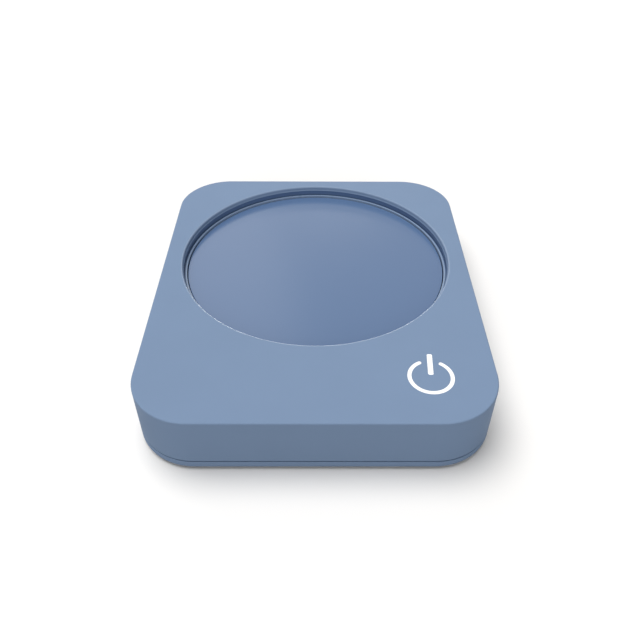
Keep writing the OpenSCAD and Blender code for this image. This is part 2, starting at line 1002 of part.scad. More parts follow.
// Four legs of the inlet shell, which pass through slots in the inlet board
module inlet_legs(gap) {
    low = inlet_board_z - leg_tail;
    leg = [leg_t + 2 * gap, leg_w + 2 * gap, inlet_z - low];
    for (sx = [-1, 1], y = leg_places)
        block(sx * (inlet_w - leg_t) / 2, inlet_back + y, low, leg);
}

// Inside of the shell, carried through from its mouth to its closed end
module inlet_bore(grow, low_y, high_y) {
    translate([0, high_y, 0])
        rotate([90, 0, 0])
            linear_extrude(high_y - low_y)
                inlet_outline(grow);
}

module inlet_shell() {
    color(steel_color)
    difference() {
        union() {
            inlet_bore(0, inlet_back, inlet_front);
            inlet_legs(0);
        }
        inlet_bore(-shell_t, inlet_back - cut, inlet_front + cut);
    }
}

module inlet_tongue() {
    tongue_l = inlet_l - tongue_tip;
    color(dark_color) {
        inlet_bore(-shell_t - tongue_gap, inlet_back, inlet_back + tongue_base);
        block(0, inlet_back + tongue_l / 2, inlet_z - tongue_h / 2, [tongue_w, tongue_l, tongue_h]);
    }
}

module inlet_board() {
    color(board_color)
    difference() {
        translate([-inlet_board_w / 2, inlet_board_front, inlet_board_z])
            cube([inlet_board_w, inlet_board_d, inlet_board_t]);
        at_inlet_screws()
            hole(small_shank_r + hole_gap, inlet_board_z - cut, inlet_board_top_z + cut);
        inlet_legs(leg_gap);
    }
}

module inlet_screws() {
    color(steel_color)
    at_inlet_screws()
        translate([0, 0, inlet_board_top_z])
            rotate([180, 0, 0])
                screw(small_head_r, small_head_h, small_shank_r, inlet_screw_l);
}

// ---- Switch ----

module switch_body() {
    color(dark_color)
    at_recess()
        difference() {
            block(0, 0, floor_z, [switch_w, switch_d, switch_h]);
            disc(plunger_r + plunger_gap, switch_z - plunger_sunk - travel - plunger_room, switch_z + cut);
        }
}

module switch_terminals() {
    color(copper_color)
    for (s = [-1, 1])
        at_recess()
            block(s * terminal_x, -(switch_d + terminal_l) / 2, terminal_z,
                [terminal_w, terminal_l, terminal_t]);
}

module switch_plunger() {
    color([0.75, 0.2, 0.15])
    at_recess()
        disc(plunger_r, switch_z - plunger_sunk, presser_z);
}

// ---- Heated plate ----

module glass_plate() {
    color(plate_color)
    at_recess()
        rotate_extrude()
            polygon([
                [0, glass_z], [glass_r - glass_bevel, glass_z], [glass_r, glass_z + glass_bevel],
                [glass_r, glass_top_z - glass_bevel], [glass_r - glass_bevel, glass_top_z], [0, glass_top_z]
            ]);
}

module glass_bond() {
    color([0.85, 0.85, 0.82])
    at_recess()
        ring(dish_r - bond_border, dish_inner_r + bond_border, rim_z, glass_z);
}

module heat_spreader() {
    color(steel_color)
    at_recess()
        disc(stack_r, spreader_z, glass_z);
}

module heating_film() {
    color(copper_color)
    at_recess()
        disc(film_r, film_z, spreader_z);
}

// Window in the insulation pad for the leads, the fuse and the sensor
module lead_space(x, size, low, high) {
    block(x, lead_y, low, [size[0], size[1], high - low]);
}

module insulation_pad() {
    color([0.88, 0.86, 0.8])
    difference() {
        at_recess()
            disc(stack_r, pad_z, film_z);
        lead_space(heater_lead_x, lead_window, pad_z - cut, film_z + cut);
        lead_space(sensor_lead_x, lead_window, pad_z - cut, film_z + cut);
        translate([heater_lead_x + wire_half - fuse_r - pad_hole_gap, lead_y, pad_z - cut])
            cube([2 * (fuse_r + pad_hole_gap), fuse_l + 2 * pad_hole_gap + wire_half, pad_t + 2 * cut]);
    }
}

module temperature_sensor() {
    color([0.2, 0.2, 0.2])
    block(sensor_lead_x, lead_y, film_z - sensor_size[2], sensor_size);
}

// Small cylinder that lies along Y against the heating film
module thermal_fuse() {
    color(white_color)
    translate([heater_lead_x + wire_half, lead_y + wire_r + wire_end + fuse_l, film_z - fuse_r])
        rotate([90, 0, 0])
            cylinder(r = fuse_r, h = fuse_l);
}

module plate_carrier() {
    color([0.25, 0.27, 0.3])
    difference() {
        union() {
            at_recess() {
                disc(dish_r, carrier_z, pad_z);
                ring(dish_r, dish_inner_r, carrier_z, rim_z);
                ring(flange_r, dish_inner_r, flange_z - flange_t, flange_z);
                disc(presser_r, presser_z, carrier_z + join);
            }
            for (a = guide_angles)
                at_guide(a)
                    disc(sleeve_r, sleeve_z, carrier_z + join);
        }
        for (a = guide_angles)
            at_guide(a)
                hole(sleeve_bore, sleeve_z - cut, carrier_z);
        lead_space(heater_lead_x, lead_window, carrier_z - cut, pad_z + cut);
        lead_space(sensor_lead_x, lead_window, carrier_z - cut, pad_z + cut);
    }
}

module plate_spring(a) {
    color(steel_color)
    at_guide(a)
        tube(coil(spring_r, spring_turns, spring_low, spring_high), spring_wire);
}

// ---- Leads: each route runs from its header on the board to the part that it feeds ----

function header_exit(x) = [
    [x, board_back + wire_end, wire_out_z], [x, board_back + wire_out, wire_out_z]
];

// From a header down to the floor behind the board
function header_drop(x) = concat(header_exit(x), [[x + drop_shift, board_back + drop_back, drop_z]]);

// From a header over to the turn behind the board
function header_lift(x, shift) = concat(header_exit(x), [[x + shift, board_back + lift_back, lift_z]]);

// Up through the window in the carrier, behind the front guide, to the underside of the stack
function plate_rise(x, z) = [
    [x, lead_y - rise_reach[0], rise_low_z], [x, lead_y - rise_reach[1], carrier_z - rise_drop],
    [x, lead_y, pad_z], [x, lead_y, z - wire_end]
];

module inlet_wires() {
    run_x = switch_w / 2 + inlet_turn[0];
    over_z = inlet_board_top_z + inlet_over;
    color([0.7, 0.15, 0.12])
    wire_pair(concat(header_drop(power_header_x), [
        [run_x, recess_y - inlet_turn[1], run_z], [run_x, recess_y, run_z],
        [run_x - inlet_side[0], recess_y + inlet_side[1], run_z],
        [inlet_close[0], inlet_board_front - inlet_close[1], over_z - inlet_climb],
        [inlet_last[0], inlet_board_front - inlet_last[1], over_z],
        [0, inlet_board_front + inlet_end, over_z]
    ]));
}

module switch_wires() {
    color(dark_color)
    wire_pair(concat(header_drop(switch_header_x), [
        [-switch_turn[0], recess_y - switch_turn[1], run_z],
        [-switch_close[0], recess_y - switch_close[1], run_z],
        [0, recess_y - switch_d / 2 - terminal_l - wire_end, switch_end_z]
    ]));
}

module heater_wires() {
    color(white_color)
    wire_pair(concat(header_lift(heater_header_x, heater_shift), plate_rise(heater_lead_x, film_z)));
}

module sensor_wires() {
    color(white_color)
    wire_pair(concat(header_lift(sensor_header_x, sensor_shift),
        plate_rise(sensor_lead_x, film_z - sensor_size[2])));
}

top_cover();
base_cover();
recess_collar();
trim_ring();
collar_screws();
housing_screws();
foot(-1, -1);  // foot_front_left
foot(1, -1);  // foot_front_right
foot(-1, 1);  // foot_back_left
foot(1, 1);  // foot_back_right
power_symbol();
light_box();
touch_spring();
symbol_leds();
control_board();
controller_chip();
heater_transistor();
board_capacitor();
buzzer();
board_resistors();
wire_headers();
board_screws();
inlet_shell();
inlet_tongue();
inlet_board();
inlet_screws();
switch_body();
switch_terminals();
switch_plunger();
glass_plate();
glass_bond();
heat_spreader();
heating_film();
insulation_pad();
temperature_sensor();
thermal_fuse();
plate_carrier();
plate_spring(guide_angles[0]);  // plate_spring_right
plate_spring(guide_angles[1]);  // plate_spring_left
plate_spring(guide_angles[2]);  // plate_spring_front
inlet_wires();
switch_wires();
heater_wires();
sensor_wires();
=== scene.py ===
import json
import math

import bmesh
import bpy
from mathutils import Matrix, Vector


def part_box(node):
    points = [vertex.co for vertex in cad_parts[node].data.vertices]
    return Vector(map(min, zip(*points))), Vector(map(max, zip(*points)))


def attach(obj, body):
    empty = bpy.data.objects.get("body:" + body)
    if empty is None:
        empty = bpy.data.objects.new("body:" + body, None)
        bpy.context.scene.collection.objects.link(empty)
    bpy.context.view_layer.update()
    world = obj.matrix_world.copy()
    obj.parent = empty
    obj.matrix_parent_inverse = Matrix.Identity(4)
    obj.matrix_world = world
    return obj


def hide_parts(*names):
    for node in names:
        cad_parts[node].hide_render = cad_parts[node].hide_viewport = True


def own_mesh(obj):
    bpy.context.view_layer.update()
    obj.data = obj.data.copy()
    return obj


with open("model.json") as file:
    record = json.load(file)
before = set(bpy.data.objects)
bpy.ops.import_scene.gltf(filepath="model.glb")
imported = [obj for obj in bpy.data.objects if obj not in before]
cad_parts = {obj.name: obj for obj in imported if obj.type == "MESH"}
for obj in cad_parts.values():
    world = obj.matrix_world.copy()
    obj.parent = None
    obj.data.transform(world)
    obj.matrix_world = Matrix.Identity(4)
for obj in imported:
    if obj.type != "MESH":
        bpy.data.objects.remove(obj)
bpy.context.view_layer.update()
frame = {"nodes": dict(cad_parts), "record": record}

# Meshes are made in millimetres, in the frame of the CAD nodes, and scaled once.
MM = 0.001

# Points closer than this are one point, and edges that turn more than this are sharp.
WELD = 0.0005
SHARP_ANGLE = math.radians(32)
# How near a point lies to the level, circle or wall that it is looked for on
ON_LEVEL = 0.001
ON_WALL = 0.01

# Steps round a full turn
RECESS_STEPS = 144
FOOT_STEPS = 48
POST_STEPS = 32
COIL_STEPS = 28
WIRE_STEPS = 10

# Steps along a rounded edge or corner
CORNER_STEPS = 24
RIM_STEPS = 12
SLOT_STEPS = 12
EDGE_STEPS = 10
GLASS_STEPS = 8
FINE_STEPS = 6
FOOT_EDGE_STEPS = 5
SMALL_STEPS = 4

# An arc of the symbol has a step for this many degrees, and never fewer than the least
ARC_STEP = 4
LEAST_ARC_STEPS = 12


def node_box(node):
    low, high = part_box(node)
    return low / MM, high / MM


COVER_LOW, COVER_HIGH = node_box("top_cover")
BASE_LOW, BASE_HIGH = node_box("base_cover")
COLLAR_Z = node_box("recess_collar")[0].z
TRIM_LOW, TRIM_HIGH = node_box("trim_ring")
GLASS_LOW, GLASS_HIGH = node_box("glass_plate")
FOOT_LOW, FOOT_HIGH = node_box("foot_back_right")
SHELL_LOW, SHELL_HIGH = node_box("inlet_shell")
SWITCH_LOW, SWITCH_HIGH = node_box("switch_body")
BOARD_LOW, BOARD_HIGH = node_box("control_board")
INLET_BOARD_LOW, INLET_BOARD_HIGH = node_box("inlet_board")

# Housing
HALF_W = COVER_HIGH.x
HALF_D = COVER_HIGH.y
SEAT_Z = COVER_LOW.z
TOP_Z = COVER_HIGH.z
CORNER_R = 20
CORNER_X = HALF_W - CORNER_R
CORNER_Y = HALF_D - CORNER_R
EDGE_R = 0.5
SMALL_R = 0.2
COVER_WALL = 2.2
COVER_SKIN = 1.7
SKIN_Z = TOP_Z - COVER_SKIN
# How far the hanging bosses reach into the skin
SUNK_IN_SKIN = 0.5

# Base
BASE_Z = BASE_LOW.z
BASE_EDGE_R = 1.2
FLOOR_Z = BASE_Z + 2
# Level inside the floor at which the posts and walls on it start
SUNK_Z = FLOOR_Z - 0.3
STRIP_Z = BASE_Z + 3
SPIGOT_Z = BASE_HIGH.z
GROOVE_DEPTH = 0.8
SPIGOT_INSET = 2.35
INNER_INSET = 3.85

# Feet and the screws behind them
FOOT_X = (FOOT_LOW.x + FOOT_HIGH.x) / 2
FOOT_Y = (FOOT_LOW.y + FOOT_HIGH.y) / 2
FOOT_R = (FOOT_HIGH.x - FOOT_LOW.x) / 2
FOOT_EDGE_R = 0.3
POCKET_R = 5
POCKET_Z = BASE_Z + 0.8
HEAD_HOLE_R = 2.85
HEAD_BORE_R = 2.8
HEAD_SEAT_Z = BASE_Z + 3.6
SHANK_BORE_R = 1.45
BASE_BOSS_R = 3.8
BOSS_Z = FLOOR_Z + 4.2
COVER_BOSS_R = 2.8
COVER_BORE_R = 1.2
COVER_BORE_Z = 14.4
CORNERS = [(sx * FOOT_X, sy * FOOT_Y) for sx in (-1, 1) for sy in (-1, 1)]

# Posts for the boards, and the cradle of the switch
PILOT_R = 0.95
BOARD_POST_R = 2.6
BOARD_PILOT_L = 2.7
BOARD_HOLE_INSET = 3
BOARD_HOLE_SPAN = 57
INLET_POST_R = 2.2
INLET_PILOT_L = 1.8
INLET_HOLE_INSET = 2.4
CRADLE_ROOM = 0.3
CRADLE_WALL = 1
CRADLE_H = 2.3
CRADLE_GATE_W = 7.5

# Recess, collar, trim ring and plate
RECESS_Y = (GLASS_LOW.y + GLASS_HIGH.y) / 2
RECESS_R = 50.8
RIM_R = 0.6
THROAT_R = 50.55
LIP_H = 0.4
COLLAR_R = 50.7
COLLAR_OUTER_R = 52.3
EAR_CIRCLE = 56.7
EAR_R = 3
EAR_T = 1.6
EAR_HOLE_R = 1.2
EAR_ANGLES = (30, 150, 210, 330)
EAR_LINK_R = 53.7
EAR_LINK_L = 3.4
EAR_LINK_W = 5
EAR_BOSS_R = 2.6
EAR_PILOT_Z = COLLAR_Z + 5.5
TRIM_OUTER_R = TRIM_HIGH.x
TRIM_R = TRIM_OUTER_R - 0.7
TRIM_SEAT_R = TRIM_OUTER_R - 0.5
TRIM_Z = TRIM_LOW.z
TRIM_TOP_Z = TRIM_HIGH.z
TRIM_EDGE_R = 0.1
TRIM_BORE_R = TRIM_OUTER_R + 0.05
LEDGE_Z = TRIM_TOP_Z - 0.5
GLASS_R = GLASS_HIGH.x
GLASS_Z = GLASS_LOW.z
GLASS_TOP_Z = GLASS_HIGH.z
GLASS_EDGE_R = 0.2
# Underside of the carrier's dish, on which the springs press
DISH_Z = GLASS_Z - 5.5
GUIDE_CIRCLE = 38
GUIDE_ANGLES = (30, 150, 270)
SLEEVE_R = 3.08
STOP_Z = FLOOR_Z + 1
POST_R = 1.8
POST_TIP = 0.3
POST_TOP_Z = DISH_Z - 1.4

# Power symbol
SYMBOL_X = 36.3
SYMBOL_Y = -51
SYMBOL_TURN = math.radians(-4)
RING_R = 7.4
RING_STROKE = 1.3
RING_GAP = 30
BAR_W = 1.7
BAR_CORNER = 0.5
BAR_LOW = 0.8
BAR_HIGH = 10
SYMBOL_GAP = 0.04

# Power inlet
INLET_W = SHELL_HIGH.x - SHELL_LOW.x
INLET_H = 3.16
INLET_STRAIGHT = (INLET_W - INLET_H) / 2
# Just under half the height, so that two rounded corners don't meet
INLET_CORNER_R = INLET_H * 0.499
INLET_Z = SHELL_HIGH.z - INLET_H / 2
INLET_Y = SHELL_HIGH.y
INLET_BACK_Y = SHELL_LOW.y
INLET_GAP = 0.25
# The back wall is larger than this, and no other flat face there is
LEAST_WALL_AREA = 500
SHELL_T = 0.25
SHELL_LIP = 0.12
LIP_SLANT = 0.04
LEG_PLACES = (0.9, 2.6)
LEG_T = 0.3
LEG_W = 1.1
TONGUE_T = 0.7
CONTACT_COUNT = 12
CONTACT_PITCH = 0.5
CONTACT_W = 0.26
CONTACT_L = 4.4
CONTACT_T = 0.08
CONTACT_SET_BACK = 1.5

# Springs and leads under the plate
SPRING_R = 3.83
SPRING_WIRE = 0.35
SPRING_TURNS = 4


# ---- Mesh helpers ----

def polar(radius, degrees, x=0.0, y=0.0):
    angle = math.radians(degrees)
    return (x + radius * math.cos(angle), y + radius * math.sin(angle))


def arc(centre, radius, start, end, steps):
    """Points (radius, level) along a round edge of a section."""
    turns = [start + (end - start) * i / steps for i in range(steps + 1)]
    return [polar(radius, t, *centre) for t in turns]


def edges_of(geom):
    return [g for g in geom if isinstance(g, bmesh.types.BMEdge)]


def verts_of(geom):
    return [g for g in geom if isinstance(g, bmesh.types.BMVert)]


def verts_along(edges):
    """The points of some edges, each once and in order."""
    return list(dict.fromkeys(v for e in edges for v in e.verts))


def chain(bm, points, closed=False):
    """Edges through points."""
    verts = [bm.verts.new(p) for p in points]
    ends = verts[1:] + verts[:1] if closed else verts[1:]
    return [bm.edges.new(pair) for pair in zip(verts, ends)]


def turned(bm, section, x, y, steps, closed=False):
    """Turns a section of (radius, level) points round an upright axis."""
    edges = chain(bm, [(x + r, y, z) for r, z in section], closed)
    bmesh.ops.spin(
        bm, geom=verts_along(edges) + edges, cent=(x, y, 0), axis=(0, 0, 1),
        angle=math.tau, steps=steps, use_merge=True
    )


def carry(bm, edges, move):
    """Extrudes a loop of edges, moves its new points, and returns its new edges."""
    geom = bmesh.ops.extrude_edge_only(bm, edges=edges)["geom"]
    verts = set(verts_of(geom))
    for v in verts:
        v.co = move(v.co)
    return [e for e in edges_of(geom) if all(v in verts for v in e.verts)]


def plan_point(inset, level):
    """Brings a point of the housing's outline to an inset and a level."""
    def move(co):
        centre = Vector((math.copysign(CORNER_X, co.x), math.copysign(CORNER_Y, co.y)))
        reach = (co.xy - centre).normalized() * (CORNER_R - inset)
        return Vector((*(centre + reach), level))
    return move


def rounded_border(bm, corners, radius, steps):
    """Rounds the corners of a single flat face and leaves only its border."""
    known = set(bm.faces) - set(corners[0].link_faces)
    bmesh.ops.bevel(
        bm, geom=corners, offset=radius, offset_type="OFFSET", segments=steps,
        profile=0.5, affect="VERTICES", material=-1
    )
    face = next(f for f in bm.faces if f not in known)
    edges = list(face.edges)
    bmesh.ops.delete(bm, geom=[face], context="FACES_ONLY")
    return edges


def plan_loop(bm, inset, level):
    """The housing's outline as a closed loop of edges."""
    grid = bmesh.ops.create_grid(bm, x_segments=1, y_segments=1, size=1)["verts"]
    bmesh.ops.scale(bm, vec=(HALF_W - inset, HALF_D - inset, 1), verts=grid)
    bmesh.ops.translate(bm, vec=(0, 0, level), verts=grid)
    return rounded_border(bm, grid, CORNER_R - inset, CORNER_STEPS)


def shell(bm, section):
    """Walls of the housing through (inset, level) points; returns the first and last loops."""
    first = plan_loop(bm, *section[0])
    last = first
    for inset, level in section[1:]:
        last = carry(bm, last, plan_point(inset, level))
    return first, last


def ring_edges(bm, radius, level, x, y):
    """Edges that lie on a level circle."""
    def on(v):
        return (abs(v.co.z - level) < ON_LEVEL
                and abs(math.hypot(v.co.x - x, v.co.y - y) - radius) < ON_LEVEL)
    return [e for e in bm.edges if all(on(v) for v in e.verts)]


def fill(bm, *loops, normal=(0, 0, 1)):
    """Flat face inside the first loop, with the others as holes."""
    edges = [e for loop in loops for e in loop]
    bmesh.ops.triangle_fill(bm, use_beauty=True, use_dissolve=False, edges=edges, normal=normal)


def arc_steps(degrees):
    return max(LEAST_ARC_STEPS, int(abs(degrees) / ARC_STEP))


def walk(bm, start, turns):
    """Closed loop from a start point through straight runs (x, y) and arcs (centre, degrees)."""
    known = set(bm.edges)
    first = here = bm.verts.new(start)
    for centre, degrees in turns:
        if degrees is None:
            there = bm.verts.new(here.co + Vector((*centre, 0)))
            bm.edges.new((here, there))
            here = there
            continue
        made = bmesh.ops.spin(
            bm, geom=[here], cent=(*centre, start[2]), axis=(0, 0, 1),
            angle=math.radians(degrees), steps=arc_steps(degrees), use_merge=False
        )
        here = verts_of(made["geom_last"])[0]
    bmesh.ops.pointmerge(bm, verts=[first, here], merge_co=first.co)
    return [e for e in bm.edges if e not in known]


def symbol_ring_loop(bm, grow, level):
    """Outline of the open ring of the symbol."""
    middle = RING_R - RING_STROKE / 2
    end_r = RING_STROKE / 2 + grow
    start = polar(middle + end_r, 90 - RING_GAP)
    right = polar(middle, 90 - RING_GAP)
    left = polar(middle, 90 + RING_GAP)
    sweep = 360 - 2 * RING_GAP
    loop = walk(bm, (*start, level), [
        ((0, 0), -sweep), (left, -180), ((0, 0), sweep), (right, -180)
    ])
    return at_symbol(bm, loop)


def symbol_bar_loop(bm, grow, level):
    """Outline of the bar of the symbol, with small round corners."""
    r = BAR_CORNER + grow
    x = BAR_W / 2 - BAR_CORNER
    low = BAR_LOW + BAR_CORNER
    high = BAR_HIGH - BAR_CORNER
    loop = walk(bm, (x + r, low, level), [
        ((0, high - low), None), ((x, high), 90), ((-2 * x, 0), None), ((-x, high), 90),
        ((0, low - high), None), ((-x, low), 90), ((2 * x, 0), None), ((x, low), 90)
    ])
    return at_symbol(bm, loop)


def at_symbol(bm, loop):
    """Brings a loop made round the origin to the symbol's place on the cover."""
    place = Matrix.Translation((SYMBOL_X, SYMBOL_Y, 0)) @ Matrix.Rotation(SYMBOL_TURN, 4, "Z")
    bmesh.ops.transform(bm, matrix=place, verts=verts_along(loop))
    return loop


def slot_point(grow, y):
    """Brings a point of the inlet's outline to another size and depth."""
    def move(co):
        centre = Vector((math.copysign(INLET_STRAIGHT, co.x), INLET_Z))
        reach = (co.xz - centre).normalized() * (INLET_H / 2 + grow)
        return Vector((centre.x + reach.x, y, centre.y + reach.y))
    return move


def slot_loop(bm, grow, y):
    """The inlet's outline, a slot with round ends, as a closed loop of edges."""
    grid = bmesh.ops.create_grid(bm, x_segments=1, y_segments=1, size=1)["verts"]
    bmesh.ops.scale(bm, vec=(INLET_W / 2, INLET_H / 2, 1), verts=grid)
    edges = rounded_border(bm, grid, INLET_CORNER_R, SLOT_STEPS)
    verts = verts_along(edges)
    turn = Matrix.Translation((0, y, INLET_Z)) @ Matrix.Rotation(math.pi / 2, 4, "X")
    bmesh.ops.transform(bm, matrix=turn, verts=verts)
    for v in verts:
        v.co = slot_point(grow, y)(v.co)
    return edges


def block(bm, centre, size):
    cube = bmesh.ops.create_cube(bm, size=1)["verts"]
    bmesh.ops.scale(bm, vec=size, verts=cube)
    bmesh.ops.translate(bm, vec=centre, verts=cube)
    return cube


def new_piece(name, bm, material, slot, body="housing", replaced=()):
    """Makes a finished piece from a mesh in millimetres and puts it on its body."""
    bmesh.ops.remove_doubles(bm, verts=bm.verts, dist=WELD)
    bmesh.ops.recalc_face_normals(bm, faces=bm.faces)
    bmesh.ops.scale(bm, vec=(MM, MM, MM), verts=bm.verts)
    for face in bm.faces:
        face.smooth = True
    for edge in bm.edges:
        edge.smooth = edge.calc_face_angle(0.0) < SHARP_ANGLE
    mesh = bpy.data.meshes.new(name)
    bm.to_mesh(mesh)
    bm.free()
    piece = bpy.data.objects.new(name, mesh)
    bpy.context.scene.collection.objects.link(piece)
    mesh.materials.append(material)
    even = piece.modifiers.new("even_normals", "WEIGHTED_NORMAL")
    even.keep_sharp = True
    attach(piece, body)
    if replaced:
        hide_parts(*replaced)
    return piece


# ---- Materials ----

MOTTLE_DETAIL = 3
GRAIN_DETAIL = 2
# Nearly all of a noise lies between these values
NOISE_LOW = 0.3
NOISE_HIGH = 0.7
# Sockets of a Mix node that mixes colours
MIX_FIRST = 6
MIX_SECOND = 7
MIX_RESULT = 2
METAL_DARKER = 0.88
PLASTIC_WEAR = 0.15
HOUSING_COLOR = (0.186, 0.261, 0.388)


def set_socket(node, name, value):
    node.inputs[name].default_value = value


class Finish:
    """A procedural material on Object coordinates."""

    def __init__(self, name, color, roughness, metallic=0.0):
        self.material = bpy.data.materials.new(name)
        self.material.use_nodes = True
        self.nodes = self.material.node_tree.nodes
        self.links = self.material.node_tree.links
        self.shader = self.nodes["Principled BSDF"]
        self.color = color
        set_socket(self.shader, "Base Color", (*color, 1))
        set_socket(self.shader, "Roughness", roughness)
        set_socket(self.shader, "Metallic", metallic)
        self.place = self.nodes.new("ShaderNodeTexCoord").outputs["Object"]

    def stretched(self, factors, offset=(0, 0, 0)):
        """The coordinates, scaled and then moved."""
        mapping = self.nodes.new("ShaderNodeMapping")
        mapping.vector_type = "POINT"
        set_socket(mapping, "Scale", factors)
        set_socket(mapping, "Location", offset)
        self.links.new(self.place, mapping.inputs["Vector"])
        return mapping.outputs["Vector"]

    def noise(self, scale, detail, place=None):
        noise = self.nodes.new("ShaderNodeTexNoise")
        set_socket(noise, "Scale", scale)
        set_socket(noise, "Detail", detail)
        self.links.new(place or self.place, noise.inputs["Vector"])
        return noise.outputs["Fac"]

    def ranged(self, value, low, high):
        """Spreads a pattern from a low to a high value."""
        spread = self.nodes.new("ShaderNodeMapRange")
        set_socket(spread, "From Min", NOISE_LOW)
        set_socket(spread, "From Max", NOISE_HIGH)
        set_socket(spread, "To Min", low)
        set_socket(spread, "To Max", high)
        self.links.new(value, spread.inputs["Value"])
        return spread.outputs["Result"]

    def tone(self, value, other):
        """Mixes the base colour with another by a pattern's value."""
        mix = self.nodes.new("ShaderNodeMix")
        mix.data_type = "RGBA"
        mix.inputs[MIX_FIRST].default_value = (*self.color, 1)
        mix.inputs[MIX_SECOND].default_value = (*other, 1)
        self.links.new(value, mix.inputs[0])
        self.links.new(mix.outputs[MIX_RESULT], self.shader.inputs["Base Color"])

    def mottle(self, scale, amount):
        """Soft patches of a slightly darker colour."""
        darker = tuple(c * (1 - amount) for c in self.color)
        self.tone(self.ranged(self.noise(scale, MOTTLE_DETAIL), 0, 1), darker)

    def grain(self, scale, height, strength, place=None):
        """Fine bumps all over the surface."""
        bump = self.nodes.new("ShaderNodeBump")
        set_socket(bump, "Strength", strength)
        set_socket(bump, "Distance", height)
        self.links.new(self.noise(scale, GRAIN_DETAIL, place), bump.inputs["Height"])
        self.links.new(bump.outputs["Normal"], self.shader.inputs["Normal"])

    def worn(self, scale, low, high, place=None):
        """Roughness that varies from place to place."""
        value = self.ranged(self.noise(scale, MOTTLE_DETAIL, place), low, high)
        self.links.new(value, self.shader.inputs["Roughness"])

    def set(self, **values):
        """Sets sockets of the shader, named with underscores for spaces."""
        for name, value in values.items():
            set_socket(self.shader, name.replace("_", " "), value)


def housing_finish():
    finish = Finish("housing_matte_blue", HOUSING_COLOR, 0.6)
    finish.mottle(scale=60, amount=0.025)
    finish.grain(scale=3200, height=0.00004, strength=0.35)
    finish.worn(scale=90, low=0.56, high=0.64)
    finish.set(Specular_IOR_Level=0.08)
    return finish.material


def rim_finish():
    finish = Finish("housing_polished_rim", HOUSING_COLOR, 0.3)
    finish.mottle(scale=60, amount=0.025)
    finish.set(Specular_IOR_Level=0.0, Coat_Weight=1.0, Coat_Roughness=0.3)
    return finish.material


def collar_finish_with_painted_shade():
    # A darker navy than the housing's blue; part of this darkness is the collar's own colour and part
    # paints in the shade deep in the recess
    finish = Finish("collar_satin_navy_and_painted_shade", (0.078, 0.132, 0.25), 0.42)
    finish.mottle(scale=80, amount=0.06)
    finish.grain(scale=2600, height=0.00004, strength=0.3)
    finish.worn(scale=120, low=0.36, high=0.46)
    return finish.material


def trim_finish_painted_highlight():
    # A lighter blue than the housing's, which paints in a highlight along the ring; the low roughness is
    # the ring's own satin
    finish = Finish("trim_satin_blue_painted_highlight", (0.22, 0.3, 0.43), 0.3)
    finish.mottle(scale=80, amount=0.03)
    finish.worn(scale=120, low=0.26, high=0.34)
    return finish.material


def glass_finish():
    finish = Finish("plate_coated_glass", (0.092, 0.157, 0.289), 0.2)
    finish.mottle(scale=25, amount=0.02)
    finish.worn(scale=40, low=0.19, high=0.21)
    finish.set(IOR=1.5)
    return finish.material


def symbol_finish():
    finish = Finish("symbol_milky_white", (0.86, 0.88, 0.9), 0.4)
    finish.mottle(scale=300, amount=0.02)
    finish.set(Emission_Color=(1, 1, 1, 1), Emission_Strength=0.12)
    return finish.material


def rubber_finish():
    finish = Finish("foot_dark_rubber", (0.025, 0.025, 0.027), 0.8)
    finish.mottle(scale=400, amount=0.25)
    finish.grain(scale=1500, height=0.00008, strength=0.5)
    return finish.material


def metal_finish(name, color, low, high, factors=(1, 1, 1)):
    finish = Finish(name, color, (low + high) / 2, metallic=1.0)
    place = finish.stretched(factors)
    streaks = finish.ranged(finish.noise(scale=900, detail=3, place=place), 0, 1)
    finish.tone(streaks, tuple(c * METAL_DARKER for c in color))
    finish.worn(scale=600, low=low, high=high, place=place)
    finish.grain(scale=1200, height=0.00002, strength=0.3, place=place)
    return finish.material


def plastic_finish(name, color, roughness, scale=500):
    finish = Finish(name, color, roughness)
    finish.mottle(scale=scale, amount=0.08)
    finish.grain(scale=2400, height=0.00003, strength=0.35)
    finish.worn(scale=200, low=roughness * (1 - PLASTIC_WEAR), high=roughness * (1 + PLASTIC_WEAR))
    return finish.material


def board_finish():
    finish = Finish("board_green_mask", (0.012, 0.11, 0.055), 0.32)
    lines = finish.nodes.new("ShaderNodeTexBrick")
    set_socket(lines, "Scale", 240)
    set_socket(lines, "Mortar Size", 0.06)
    set_socket(lines, "Color1", (0, 0, 0, 1))
    set_socket(lines, "Color2", (0.1, 0.1, 0.1, 1))
    set_socket(lines, "Mortar", (1, 1, 1, 1))
    finish.links.new(finish.place, lines.inputs["Vector"])
    finish.tone(lines.outputs["Color"], (0.03, 0.2, 0.09))
    finish.worn(scale=150, low=0.26, high=0.38)
    return finish.material


def film_finish():
    finish = Finish("film_amber_track", (0.42, 0.16, 0.03), 0.25)
    place = finish.stretched((1, 1, 1), (0, -RECESS_Y * MM, 0))
    rings = finish.nodes.new("ShaderNodeTexWave")
    rings.wave_type = "RINGS"
    rings.rings_direction = "Z"
    set_socket(rings, "Scale", 90)
    finish.links.new(place, rings.inputs["Vector"])
    track = finish.ranged(rings.outputs["Fac"], 0, 1)
    finish.tone(track, (0.55, 0.33, 0.2))
    return finish.material


def felt_finish():
    finish = Finish("insulation_felt", (0.72, 0.69, 0.6), 0.95)
    fibres = finish.stretched((1, 6, 1))
    clumps = finish.ranged(finish.noise(scale=500, detail=4, place=fibres), 0, 1)
    finish.tone(clumps, (0.55, 0.52, 0.44))
    finish.grain(scale=900, height=0.0003, strength=0.7, place=fibres)
    return finish.material


def lead_finish(name, color):
    finish = Finish(name, color, 0.5)
    finish.mottle(scale=700, amount=0.1)
    finish.worn(scale=300, low=0.42, high=0.58)
    return finish.material


